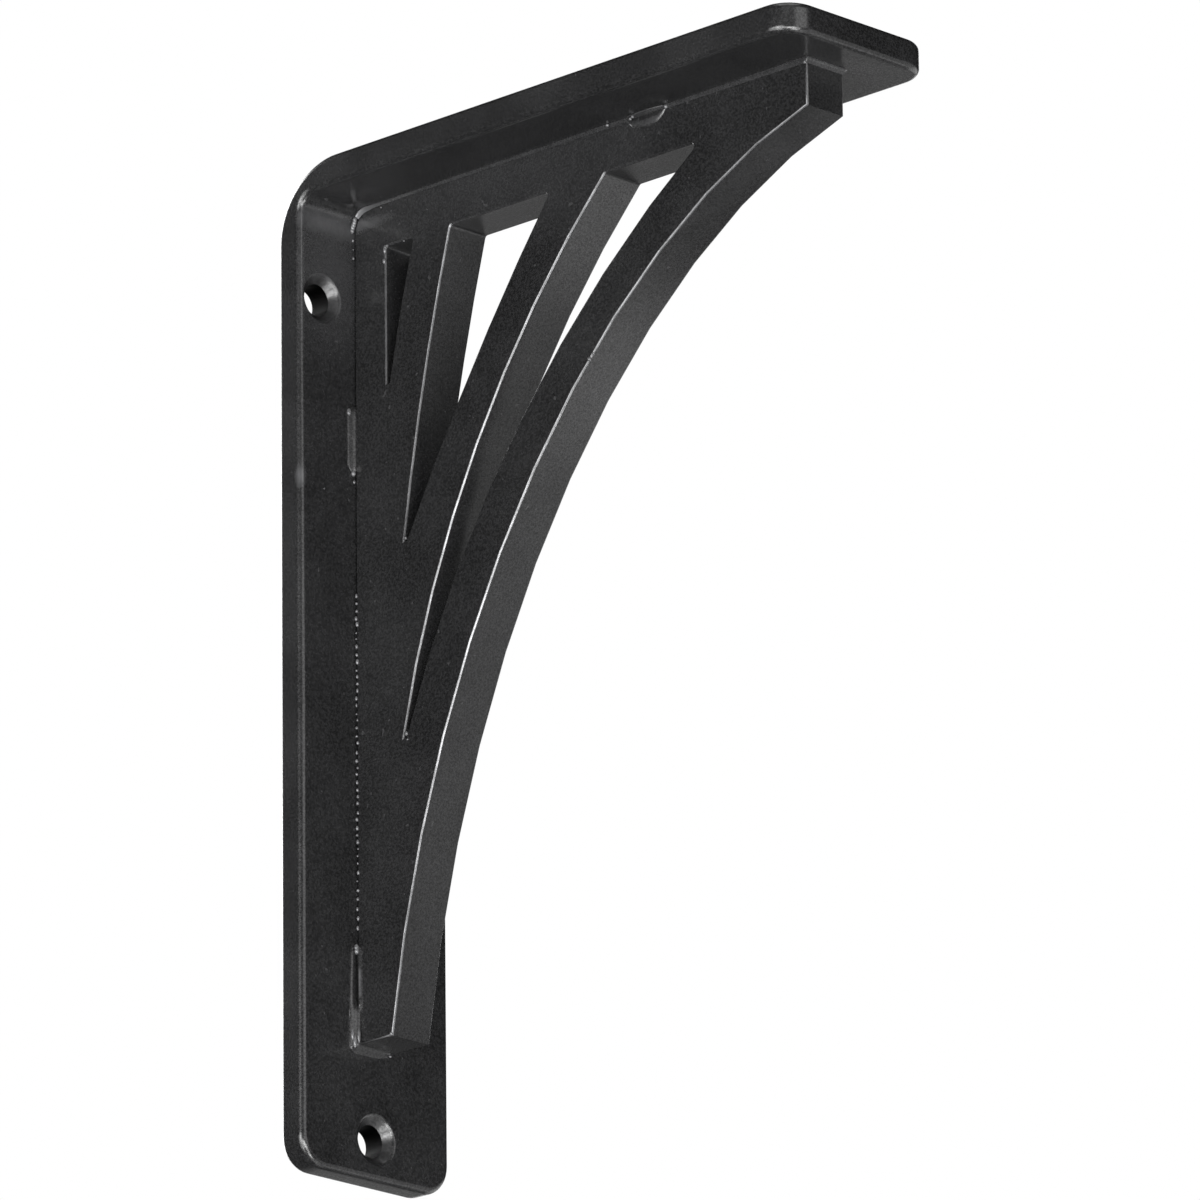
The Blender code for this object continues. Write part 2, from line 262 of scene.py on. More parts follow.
# Painted highlight on the foot bead's rim over the plate, at distances below the top face
RIM = (BAR_THICKNESS + 0.9 * MM, BAR_THICKNESS + 1.35 * MM)
RIM_HIGHLIGHT = ((0, [0]), (160.4 * MM, [0]), (162.4 * MM, [0.9]), (167 * MM, [0.85]),
                (168.7 * MM, [0]))
# Painted highlight on the seam's paint, from the middle of the bend to the plate's tip
SEAM_HIGHLIGHT = ((0, [0.95]), (2.5 * MM, [0.72]), (7 * MM, [0.5]), (14 * MM, [0.42]))
# On the plate's edges: how far an edge faces out from the wall, or down, for the paint to be
# thin there with a painted highlight, where the lights catch it, over what turn that comes in,
# and the least that is left of it
OUT_START = 0.03
OUT_FADE = 0.1
OUT_LEAST = 0.12
DOWN_FADE = 0.12
DOWN_LEAST = 0.7

# Spots: a rubbed one on the leg's rim, the rest painted reflection and sheen, paler paint where
# light falls under the bend: centre, reach each way, strength
BAR_SPOTS = (
    ((5.9 * MM, -19.6 * MM, TOP - 64.2 * MM), (1.6 * MM, 1.8 * MM, 3.4 * MM), 0.75),
    # Painted reflection: a pale haze on the leg's front under the bend
    ((6.4 * MM, -12.0 * MM, TOP - 10.6 * MM), (2.0 * MM, 16.0 * MM, 3.6 * MM), 0.6),
    ((6.3 * MM, -12.0 * MM, TOP - 20.0 * MM), (1.5 * MM, 18.0 * MM, 26.0 * MM), 0.28),
)
# Painted sheen beside the corner bead, and a faint painted reflection along the plate's top
WEB_SPOTS = (
    ((8.5 * MM, -5.1 * MM, TOP - 9.8 * MM), (12.0 * MM, 2.0 * MM, 2.0 * MM), 0.5),
    ((52.0 * MM, -5.1 * MM, TOP - 9.0 * MM), (62.0 * MM, 2.0 * MM, 18.0 * MM), 0.14),
)
# Painted highlight on the seam paint in the corner of the bend
WELD_SPOTS = (
    ((8.0 * MM, -5.6 * MM, TOP - 8.5 * MM), (8.0 * MM, 3.0 * MM, 4.0 * MM), 0.3),
)

# The photograph's camera: where it stands, what it looks at, its roll and its lens
CAMERA_PLACE = Vector((1.6494, -1.6166, -0.7058))
CAMERA_AIM = Vector((0.0650, 0.0034, 0.0034))
CAMERA_ROLL = radians(0.62)
CAMERA_LENS = 369.7
SENSOR_WIDTH = 36.0

# Studio: soft square lights round the bracket, as compass angle, height angle, width and watts
LIGHT_DISTANCE = 3.0
LIGHTS = {
    "key_left": (-75.6, -5, 1.6, 67),
    "key_left_low": (-75.6, -42, 1.0, 15),
    "key_middle": (-55.6, -20, 1.0, 24.5),
    "key_front": (-35.6, -20, 1.0, 52),
    "key_right": (-15.6, -20, 1.0, 24.5),
    "key_under": (-15.6, -42, 1.0, 37),
    "left_panel": (-90.6, -20, 2.2, 65),
    "right_panel": (-0.6, -55, 2.2, 14),
    "right_high_panel": (-0.6, 15, 2.2, 28),
    "high_panel": (-45.6, 35, 1.6, 5),
    "overhead_panel": (-45.6, 80, 2.2, 27),
    "far_right_panel": (44.4, -20, 2.2, 10),
    "far_under_panel": (44.4, -55, 2.2, 12),
    "far_panel": (89.4, -20, 2.2, 19.5),
    "behind_panel": (134.4, 15, 2.2, 18),
    "behind_low_panel": (134.4, -20, 2.2, 3.6),
    "wall_panel": (179.4, 15, 2.2, 130),
}
FLOOR_HEIGHT = -3.4
FLOOR_HALF_SIZE = 8.0
FLOOR_COLOUR = (0.02, 0.02, 0.02, 1)
FLOOR_GLOW = 0.85
WHITE = (1, 1, 1, 1)


def new_material(name):
    """Empty node material and its Principled shader."""
    material = bpy.data.materials.new(name)
    material.use_nodes = True
    return material, material.node_tree.nodes["Principled BSDF"]


def new_group(name, inputs, outputs):
    """Shader node group with named sockets, and its input and output nodes."""
    group = bpy.data.node_groups.new(name, "ShaderNodeTree")
    for socket_name, kind in inputs:
        group.interface.new_socket(socket_name, in_out="INPUT", socket_type="NodeSocket" + kind)
    for socket_name, kind in outputs:
        group.interface.new_socket(socket_name, in_out="OUTPUT", socket_type="NodeSocket" + kind)
    return group, group.nodes.new("NodeGroupInput"), group.nodes.new("NodeGroupOutput")


def add_noise(tree, place, scale, detail):
    """Noise of one feature size, read at a place."""
    node = tree.nodes.new("ShaderNodeTexNoise")
    node.inputs["Scale"].default_value = scale
    node.inputs["Detail"].default_value = detail
    tree.links.new(place, node.inputs["Vector"])
    return node.outputs["Fac"]


def add_math(tree, operation, first, second):
    """One sum on two values, each a socket or a number."""
    node = tree.nodes.new("ShaderNodeMath")
    node.operation = operation
    for value, socket in zip((first, second), node.inputs):
        if isinstance(value, (int, float)):
            socket.default_value = value
        else:
            tree.links.new(value, socket)
    return node.outputs["Value"]


def mix_colours(tree, amount, colour, second):
    """Blends a colour towards a second, plain one."""
    node = tree.nodes.new("ShaderNodeMix")
    node.data_type = "RGBA"
    tree.links.new(amount, node.inputs["Factor"])
    tree.links.new(colour, node.inputs["A"])
    node.inputs["B"].default_value = second
    return node.outputs["Result"]


def read_mark(tree, name):
    """A mark that the mesh carries."""
    node = tree.nodes.new("ShaderNodeAttribute")
    node.attribute_name = name
    return node.outputs["Fac"]


def add_range(tree, value, from_low, from_high, to_low, to_high):
    """Maps one range of a value onto another."""
    node = tree.nodes.new("ShaderNodeMapRange")
    node.interpolation_type = "SMOOTHSTEP"
    node.inputs["From Min"].default_value = from_low
    node.inputs["From Max"].default_value = from_high
    node.inputs["To Min"].default_value = to_low
    node.inputs["To Max"].default_value = to_high
    tree.links.new(value, node.inputs["Value"])
    return node.outputs["Result"]


def powder_coat_group():
    """Powder coat: a fine orange peel, grainy tone and gloss, slow drifts, and stray dust."""
    group, start, end = new_group(
        "powder_coat",
        [("Place", "Vector"), ("Colour", "Color"), ("Roughness", "Float")],
        [("Colour", "Color"), ("Roughness", "Float"), ("Gloss", "Float"), ("Height", "Float")])
    place = start.outputs["Place"]
    grain = add_noise(group, place, TONE_GRAIN, 1)
    sparkle = add_noise(group, place, GLOSS_GRAIN, 1)
    peel = add_noise(group, place, PEEL_GRAIN, 2)
    drift = add_noise(group, place, DRIFT_GRAIN, 2)
    dust = add_range(group, add_noise(group, place, DUST_GRAIN, 0), *DUST_NOISE, 0, 1)

    tone = add_math(group, "ADD", add_range(group, grain, *NOISE_RANGE, *TONE_RANGE),
                    add_range(group, drift, *NOISE_RANGE, *DRIFT_TONE))
    tone = add_math(group, "ADD", tone, add_math(group, "MULTIPLY", dust, DUST_TONE))
    colour = group.nodes.new("ShaderNodeVectorMath")
    colour.operation = "SCALE"
    group.links.new(start.outputs["Colour"], colour.inputs[0])
    group.links.new(tone, colour.inputs["Scale"])
    rough = add_math(group, "ADD", start.outputs["Roughness"],
                     add_range(group, drift, *NOISE_RANGE, *DRIFT_ROUGHNESS))
    gloss = add_range(group, sparkle, *NOISE_RANGE, *GLOSS_RANGE)
    height = add_math(group, "ADD", peel, add_math(group, "MULTIPLY", grain, GRAIN_HEIGHT))
    height = add_math(group, "ADD", height, dust)

    group.links.new(colour.outputs["Vector"], end.inputs["Colour"])
    group.links.new(rough, end.inputs["Roughness"])
    group.links.new(gloss, end.inputs["Gloss"])
    group.links.new(height, end.inputs["Height"])
    return group


def wear_and_sheen_spot_group():
    """Soft-edged, ragged spot around a centre."""
    group, start, end = new_group(
        "wear_and_sheen_spot",
        [("Place", "Vector"), ("Centre", "Vector"), ("Reach", "Vector")],
        [("Mask", "Float")])
    away = group.nodes.new("ShaderNodeVectorMath")
    away.operation = "SUBTRACT"
    share = group.nodes.new("ShaderNodeVectorMath")
    share.operation = "DIVIDE"
    length = group.nodes.new("ShaderNodeVectorMath")
    length.operation = "LENGTH"
    group.links.new(start.outputs["Place"], away.inputs[0])
    group.links.new(start.outputs["Centre"], away.inputs[1])
    group.links.new(away.outputs["Vector"], share.inputs[0])
    group.links.new(start.outputs["Reach"], share.inputs[1])
    group.links.new(share.outputs["Vector"], length.inputs[0])
    cloud = add_noise(group, start.outputs["Place"], RAGGED_GRAIN, 2)
    ragged = add_range(group, cloud, *NOISE_RANGE, *RAGGED_RANGE)
    edge = add_math(group, "ADD", length.outputs["Value"], ragged)
    group.links.new(add_range(group, edge, 0.0, 1.0, 1, 0), end.inputs["Mask"])
    return group


def add_group(tree, group, place):
    """Places a shader node group in a material, reading a place."""
    node = tree.nodes.new("ShaderNodeGroup")
    node.node_tree = group
    tree.links.new(place, node.inputs["Place"])
    return node


def thin_paint_and_highlight(tree, place):
    """Thinned paint and painted highlight: the mesh's mark, sharpened and broken up in patches."""
    sharpened = add_math(tree, "POWER", read_mark(tree, "edge"), THIN_AND_HIGHLIGHT_FALLOFF)
    patches = add_noise(tree, place, PATCH_GRAIN, 2)
    return add_math(tree, "MULTIPLY", sharpened,
                    add_range(tree, patches, *PATCH_NOISE, *PATCH_RANGE))


def black_paint(name, groups, roughness, spots):
    """Satin black powder coat, paler in a rubbed spot and in spots of painted reflection, pale
    and thinned along edges as a painted highlight, and with painted shade in the screw bores.
    """
    material, shader = new_material(name)
    tree = material.node_tree
    place = tree.nodes.new("ShaderNodeTexCoord").outputs["Object"]
    coat = add_group(tree, groups["powder_coat"], place)
    coat.inputs["Colour"].default_value = BLACK
    coat.inputs["Roughness"].default_value = roughness
    hole = read_mark(tree, "hole")
    bore = add_range(tree, hole, CONE_MARK, BORE_MARK, 0, 1)
    thin_and_highlight = thin_paint_and_highlight(tree, place)

    colour = coat.outputs["Colour"]
    # Paler paint: wear at the rubbed spot, painted reflection and sheen at the others
    for centre, reach, strength in spots:
        spot = add_group(tree, groups["wear_and_sheen_spot"], place)
        spot.inputs["Centre"].default_value = centre
        spot.inputs["Reach"].default_value = reach
        amount = add_math(tree, "MULTIPLY", spot.outputs["Mask"], strength)
        colour = mix_colours(tree, amount, colour, RUBBED_AND_SHEEN)
    # Paler thinned paint on edges and beads: a painted highlight
    colour = mix_colours(tree, thin_and_highlight, colour, THIN_PAINT_HIGHLIGHT)
    # Painted shade: the screw bores go near black
    colour = mix_colours(tree, bore, colour, BORE_SHADE)
    tree.links.new(colour, shader.inputs["Base Color"])

    # Thinned paint partly shows the steel; the bores go metallic near black, as painted shade
    metal = add_math(tree, "MAXIMUM", add_math(tree, "MULTIPLY", thin_and_highlight, THIN_EDGE_METAL), bore)
    tree.links.new(metal, shader.inputs["Metallic"])
    dull = add_math(tree, "ADD", coat.outputs["Roughness"],
                    add_math(tree, "MULTIPLY", hole, HOLE_DULLNESS))
    tree.links.new(dull, shader.inputs["Roughness"])
    # No coat gloss in the bores, part of their painted shade
    painted = add_math(tree, "SUBTRACT", 1, bore)
    gloss = add_math(tree, "MULTIPLY", coat.outputs["Gloss"], painted)
    tree.links.new(gloss, shader.inputs["Coat Weight"])
    shader.inputs["Coat Roughness"].default_value = PAINT_ROUGHNESS
    shader.inputs["Specular IOR Level"].default_value = SPECULAR_LEVEL

    bump = tree.nodes.new("ShaderNodeBump")
    bump.inputs["Distance"].default_value = PEEL_HEIGHT
    tree.links.new(coat.outputs["Height"], bump.inputs["Height"])
    tree.links.new(bump.outputs["Normal"], shader.inputs["Normal"])
    return material


def clamped(value, low, high):
    """A value held between two limits."""
    return min(max(value, low), high)


def side_arc(centre, radii, start, end, steps):
    """Points along part of an ellipse in the side view, angles counted from +X towards +Z."""
    turns = [start + (end - start) * step / steps for step in range(steps + 1)]
    return [centre + Vector((radii[0] * cos(turn), radii[1] * sin(turn))) for turn in turns]


def bowed(start, end, bow, steps):
    """Points along a shallow arc from a higher to a lower point, bowed towards the wall."""
    if not bow:
        return [start, end]
    chord = end - start
    along = chord.normalized()
    aside = Vector((along.y, -along.x))
    radius = (chord.length ** 2 / 4 + bow ** 2) / (2 * bow)
    half_turn = asin(chord.length / 2 / radius)
    middle = (start + end) / 2 - aside * (radius - bow)
    turns = [half_turn * (2 * step / steps - 1) for step in range(steps + 1)]
    return [middle + aside * radius * cos(turn) + along * radius * sin(turn) for turn in turns]


def rounded(before, corner, after, radius, steps):
    """Points that round off a corner between two neighbouring points."""
    to_before = (before - corner).normalized()
    to_after = (after - corner).normalized()
    half_angle = to_before.angle(to_after) / 2
    setback = radius / tan(half_angle)
    centre = corner + (to_before + to_after).normalized() * radius / sin(half_angle)
    first = (corner + to_before * setback - centre).normalized()
    last = (corner + to_after * setback - centre).normalized()
    return [centre + first.slerp(last, step / steps) * radius for step in range(steps + 1)]


def outset(points, distance):
    """Moves every side of a closed outline outwards by one distance."""
    area = sum(a.x * b.y - b.x * a.y for a, b in zip(points, points[1:] + points[:1]))
    sign = 1 if area > 0 else -1
    moved = []
    for before, point, after in zip(points[-1:] + points[:-1], points, points[1:] + points[:1]):
        first = (point - before).normalized()
        second = (after - point).normalized()
        first_out = Vector((first.y, -first.x)) * sign
        second_out = Vector((second.y, -second.x)) * sign
        miter = (first_out + second_out).normalized()
        moved.append(point + miter * distance / miter.dot(first_out))
    return moved


def loft(sections):
    """Closed solid through a run of matching outlines in space."""
    bm = bmesh.new()
    end = bm.faces.new([bm.verts.new(point) for point in sections[0]])
    for number, section in enumerate(sections[1:]):
        made = bmesh.ops.extrude_face_region(bm, geom=[end])
        if number:
            bmesh.ops.delete(bm, geom=[end], context="FACES_ONLY")
        end = next(part for part in made["geom"] if isinstance(part, bmesh.types.BMFace))
        for vert, point in zip(end.verts, section):
            vert.co = point
    bmesh.ops.recalc_face_normals(bm, faces=bm.faces)
    return bm


def round_edges(bm, edges, radius, segments):
    """Rounds edges to an even radius."""
    bmesh.ops.bevel(bm, geom=edges, offset=radius, offset_type="OFFSET", segments=segments,
                    profile=0.5, affect="EDGES", material=-1, clamp_overlap=True)


def add_piece(name, bm, material, nodes=()):
    """Turns a bmesh into a piece of the bracket that rides on it and stands for CAD nodes."""
    bmesh.ops.recalc_face_normals(bm, faces=bm.faces)
    mesh = bpy.data.meshes.new(name)
    bm.to_mesh(mesh)
    bm.free()
    mesh.materials.append(material)
    mesh.shade_smooth()
    mesh.set_sharp_from_angle(angle=SHARP_EDGE)
    piece = bpy.data.objects.new(name, mesh)
    bpy.context.collection.objects.link(piece)
    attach(piece, BODY)
    if nodes:
        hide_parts(*nodes)
    return piece


def carve(bm, cutters):
    """Cuts closed solids out of a closed solid and returns what is left."""
    def as_object(name, shape):
        mesh = bpy.data.meshes.new(name)
        shape.to_mesh(mesh)
        shape.free()
        made = bpy.data.objects.new(name, mesh)
        bpy.context.collection.objects.link(made)
        return made

    body = as_object("uncut", bm)
    tools = [as_object("cutter", cutter) for cutter in cutters]
    for tool in tools:
        boolean = body.modifiers.new("cut", "BOOLEAN")
        boolean.object = tool
        boolean.operation = "DIFFERENCE"
        boolean.solver = "EXACT"
    result = bmesh.new()
    result.from_object(body, bpy.context.evaluated_depsgraph_get())
    for used in [body] + tools:
        bpy.data.objects.remove(used, do_unlink=True)
    return result


def even_shading(piece):
    """Keeps flat faces flat where softened edges run into them."""
    weighted = piece.modifiers.new("even_shading", "WEIGHTED_NORMAL")
    weighted.mode = "FACE_AREA"
    weighted.weight = FLAT_FACE_WEIGHT
    weighted.keep_sharp = True


def bar_outline():
    """Side view of the bar, bent through a right angle."""
    outer_centre = Vector((BEND_OUTER_RADIUS, TOP - BEND_OUTER_RADIUS))
    inner_centre = Vector((BAR_THICKNESS + BEND_INNER_RADIUS, SOFFIT - BEND_INNER_RADIUS))
    outer_radii = (BEND_OUTER_RADIUS, BEND_OUTER_RADIUS)
    inner_radii = (BEND_INNER_RADIUS, BEND_INNER_RADIUS)
    outline = [Vector((0, BOTTOM))]
    outline += side_arc(outer_centre, outer_radii, pi, pi / 2, OUTER_BEND_STEPS)
    outline += [Vector((DEPTH, TOP)), Vector((DEPTH, SOFFIT))]
    outline += side_arc(inner_centre, inner_radii, pi / 2, pi, INNER_BEND_STEPS)
    outline += [Vector((BAR_THICKNESS, BOTTOM))]
    return outline


def is_bar_corner(edge):
    """Whether an edge runs through the bar's thickness at one of its two cut ends."""
    start, end = (vert.co for vert in edge.verts)
    through_leg = all(abs(point.z - BOTTOM) < TOLERANCE for point in (start, end))
    through_top = all(abs(point.x - DEPTH) < TOLERANCE for point in (start, end))
    return (through_leg or through_top) and abs(start.y - end.y) < TOLERANCE


def screw_hole_cutter(aside, height):
    """Countersunk hole through the wall leg, its cone opening out with a softened mouth."""
    cone_depth = COUNTERSINK_RADIUS - SCREW_HOLE_RADIUS
    mouth = [(BAR_THICKNESS - MOUTH_RADIUS * behind, COUNTERSINK_RADIUS + MOUTH_RADIUS * outside)
             for behind, outside in MOUTH_CURVE]
    profile = [
        (-CUT_PAST, 0),
        (-CUT_PAST, SCREW_HOLE_RADIUS),
        (BAR_THICKNESS - cone_depth, SCREW_HOLE_RADIUS),
        *mouth,
        (BAR_THICKNESS + CUT_PAST, COUNTERSINK_RADIUS + CUT_PAST),
        (BAR_THICKNESS + CUT_PAST, 0),
    ]
    bm = bmesh.new()
    verts = [bm.verts.new((along, 0, radius)) for along, radius in profile]
    edges = [bm.edges.new(pair) for pair in zip(verts, verts[1:])]
    bmesh.ops.spin(bm, geom=verts + edges, axis=OUT, cent=(0, 0, 0), angle=2 * pi,
                   steps=HOLE_STEPS, use_merge=True)
    bmesh.ops.remove_doubles(bm, verts=bm.verts, dist=MERGE_DISTANCE)
    bmesh.ops.translate(bm, verts=bm.verts, vec=(0, aside, height))
    bmesh.ops.recalc_face_normals(bm, faces=bm.faces)
    return bm


def mark_holes(piece):
    """Marks the insides of the screw holes, the cones and the bores, which get painted shade."""
    marks = piece.data.attributes.new("hole", "FLOAT", "FACE")
    for face, mark in zip(piece.data.polygons, marks.data):
        for aside, height in SCREW_HOLES:
            away = Vector((face.center.y - aside, face.center.z - height)).length
            if away < COUNTERSINK_RADIUS - MOUTH_RADIUS and abs(face.normal.x) < FLAT_FACE:
                mark.value = BORE_MARK if away < SCREW_HOLE_RADIUS else CONE_MARK


def build_bar(material):
    """Flat bar bent into a wall leg and a top leg."""
    sections = [[(point.x, side, point.y) for point in bar_outline()]
                for side in (-BAR_HALF_WIDTH, BAR_HALF_WIDTH)]
    bm = loft(sections)
    corners = [edge for edge in bm.edges if is_bar_corner(edge)]
    round_edges(bm, corners, CORNER_RADIUS, CORNER_STEPS)
    rims = [edge for edge in bm.edges if edge.calc_face_angle() > SHARP_EDGE]
    round_edges(bm, rims, RIM_RADIUS, RIM_STEPS)
    bm = carve(bm, [screw_hole_cutter(*hole) for hole in SCREW_HOLES])
    bar = add_piece("bar", bm, material, ["bent_bar"])
    mark_holes(bar)
    even_shading(bar)


def web_outline():
    """Side view of the plate: back edge, rounded corner, top edge, tip, faceted front and foot."""
    corner = Vector((WEB_LOW.x, WEB_HIGH.z))
    front = side_arc(FRONT_CENTRE, FRONT_RADII, *FRONT_ANGLES, FRONT_FACETS)
    foot = Vector((WEB_LOW.x, front[-1].y))
    tip = Vector((front[0].x, WEB_HIGH.z))
    back = rounded(foot, corner, tip, WEB_CORNER_RADIUS, WEB_CORNER_STEPS)
    return [foot] + back + [tip] + front


def slot_outline(left, right, end, drop, left_bow, right_bow, facets):
    """Side view of one slot, from its top left corner down to its end and back up."""
    low = TOP - drop
    left_side = bowed(Vector((left, SLOT_TOP)), Vector((end, low)), left_bow, facets)
    right_side = bowed(Vector((right, SLOT_TOP)), Vector((end + SLOT_END_WIDTH, low)),
                       right_bow, facets)
    right_corner = rounded(right_side[1], right_side[0], left_side[0],
                           SLOT_CORNER_RADIUS, SLOT_CORNER_STEPS)
    left_corner = rounded(right_side[0], left_side[0], left_side[1],
                          SLOT_CORNER_RADIUS, SLOT_CORNER_STEPS)
    return left_corner + left_side[1:] + right_side[:0:-1] + right_corner


def web_edge_profile():
    """Places through the plate and how far its rounded edge stands back there."""
    near = []
    for step in range(WEB_EDGE_STEPS + 1):
        turn = pi / 2 * step / WEB_EDGE_STEPS
        near.append((FLANK - WEB_EDGE_RADIUS * (1 - sin(turn)), WEB_EDGE_RADIUS * (1 - cos(turn))))
    return [(-place, back) for place, back in reversed(near)] + near


def slot_cutter(outline):
    """Cutter for a slot that leaves the slot's edges rounded on both flanks."""
    past = FLANK + SLOT_CUT_PAST
    profile = [(-past, WEB_EDGE_RADIUS)] + web_edge_profile() + [(past, WEB_EDGE_RADIUS)]
    return loft([[(point.x, place, point.y) for point in outset(outline, back)]
                 for place, back in profile])


def mark_painted_highlight(piece, highlight_rule):
    """Marks a painted highlight on a piece, as strong as a rule that takes a place on it gives."""
    marks = piece.data.attributes.new("edge", "FLOAT", "POINT")
    for vert, mark in zip(piece.data.vertices, marks.data):
        mark.value = highlight_rule(vert.co)


def mark_edges(piece):
    """Marks the plate's rounded edges for thinned paint and a painted highlight, most in the
    middle of the rounding, and more along the edges that face out from the wall and down, where
    the lights catch them."""
    marks = piece.data.attributes.new("edge", "FLOAT", "POINT")
    for vert, mark in zip(piece.data.vertices, marks.data):
        into = clamped((abs(vert.co.y) - FLANK + WEB_EDGE_RADIUS) / WEB_EDGE_RADIUS, 0, 1)
        facing_out = clamped((vert.normal.x - OUT_START) / OUT_FADE, OUT_LEAST, 1)
        facing_down = clamped(-vert.normal.z / DOWN_FADE, DOWN_LEAST, 1)
        mark.value = 2 * into * sqrt(1 - into * into) * facing_out * facing_down


def build_web(material):
    """Thick plate set on edge under the top leg, pierced by the three slots of a fan."""
    sections = []
    for place, back in web_edge_profile():
        softened = outset(web_outline(), -back)
        for point in softened:
            if point.x < WEB_LOW.x + BACK_EDGE_REACH:
                point.x = WEB_LOW.x + (point.x - WEB_LOW.x) * BACK_EDGE_SHARE
        sections.append([(point.x, place, point.y) for point in softened])
    bm = carve(loft(sections), [slot_cutter(slot_outline(**slot)) for slot in SLOTS])
    web = add_piece("web", bm, material, ["web_plate"])
    mark_edges(web)
    even_shading(web)


def bead_ring(corner, bar_way, plate_way, legs, section):
    """Points around a bead that sits in the corner between the bar and the plate."""
    ring = [corner - bar_way * ROOT_DEPTH - plate_way * BURIED]
    for over_bar, over_plate in section:
        point = corner + bar_way * legs[0] * over_bar + plate_way * legs[1] * over_plate
        ripple = BEAD_RIPPLE * noise.noise(point * RIPPLES_PER_METRE)
        ring.append(point + (point - corner) * ripple)
    ring[1] -= plate_way * BURIED
    ring[-1] -= bar_way * BURIED
    return ring


def between(keys, place):
    """Values at a place between keys, each a place and its values."""
    for (low, first), (high, last) in zip(keys, keys[1:]):
        if place <= high:
            share = (place - low) / (high - low)
            return [start + (end - start) * share for start, end in zip(first, last)]
    return keys[-1][1]


def blended_section(groove):
    """Section between a full bead and a grooved one."""
    return [Vector(full).lerp(Vector(cut), groove)
            for full, cut in zip(FULL_SECTION, GROOVED_SECTION)]


def end_size(gone, left, taper):
    """How full a bead is near its two rounded ends, from the length gone and left."""
    nearest = clamped(min(gone, left), 0, taper)
    return max(BEAD_END_SIZE, sqrt(1 - (1 - nearest / taper) ** 2))


def straight_bead(start, end, bar_way, plate_way, legs, section, taper):
    """Bead along a straight seam."""
    length = (end - start).length
    steps = round(length / BEAD_SPACING)
    rings = []
    for step in range(steps + 1):
        gone = length * step / steps
        size = end_size(gone, length - gone, taper)
        reach = (legs[0] * size, legs[1] * size)
        place = start.lerp(end, step / steps)
        rings.append(bead_ring(place, bar_way, plate_way, reach, section))
    return loft(rings)


def foot_bead():
    """Bead down the left side of the foot, grooved at first, then round the corner and under."""
    start = Vector((BAR_THICKNESS, -FLANK, TOP - LOW_BEAD[0]))
    corner = Vector((BAR_THICKNESS, -FLANK, FOOT))
    down_length = start.z - FOOT
    turn_length = pi / 2 * LOW_LEGS[0] / 2
    under_length = FLANK + FOOT_BEAD_END
    length = down_length + turn_length + under_length
    rings = []
    steps = round(length / BEAD_SPACING)
    for step in range(steps + 1):
        gone = length * step / steps
        turned = clamped(gone - down_length, 0, turn_length) / turn_length * pi / 2
        bar_way = -ACROSS * cos(turned) - UP * sin(turned)
        place = corner + UP * max(down_length - gone, 0)
        place += ACROSS * max(gone - down_length - turn_length, 0)
        bar_leg, plate_leg, groove = between(FOOT_BEAD, gone)
        size = min(end_size(gone, length, LOW_TAPER),
                   end_size(length, length - gone, FOOT_BEAD_TAPER))
        legs = (bar_leg * size, plate_leg * size)
        rings.append(bead_ring(place, bar_way, OUT, legs, blended_section(groove)))
    return loft(rings)


def build_welds(material):
    """Weld beads: two short pairs, one low pair, the left one of which runs under the foot."""
    for side, way in (("left", -ACROSS), ("right", ACROSS)):
        flank = way * FLANK
        high, low = (Vector((BAR_THICKNESS, 0, TOP - drop)) + flank for drop in MIDDLE_BEAD)
        bead = straight_bead(high, low, way, OUT, MIDDLE_LEGS, FULL_SECTION, MIDDLE_TAPER)
        add_piece("bead_middle_" + side, bead, material, ["weld_middle_" + side])
        near, far = (Vector((place, 0, SOFFIT)) + flank for place in TOP_BEAD)
        bead = straight_bead(near, far, way, -UP, TOP_LEGS, LENS_SECTION, TOP_TAPER)
        bead = add_piece("bead_top_" + side, bead, material, ["weld_top_" + side])
        # Painted highlight on the top beads
        mark_painted_highlight(bead, lens_highlight)
    high, low = (Vector((BAR_THICKNESS, FLANK, TOP - drop)) for drop in LOW_BEAD)
    bead = straight_bead(high, low, ACROSS, OUT, LOW_LEGS, FULL_SECTION, LOW_TAPER)
    add_piece("bead_low_right", bead, material, ["weld_low_right"])
    bead = add_piece("bead_foot", foot_bead(), material, ["weld_foot"])
    # Painted highlight on the foot bead's rim
    mark_painted_highlight(bead, rim_highlight)


def rim_highlight(place):
    """How strong the painted highlight is at a place on the foot bead."""
    return between(RIM_HIGHLIGHT, TOP - place.z)[0] if RIM[0] < place.x < RIM[1] else 0


def lens_highlight(place):
    """How strong the painted highlight is at a place on a top bead."""
    size = end_size(place.x - TOP_BEAD[0], TOP_BEAD[1] - place.x, TOP_TAPER)
    return between(LENS_HIGHLIGHT, (SOFFIT - place.z) / (TOP_LEGS[1] * size))[0]


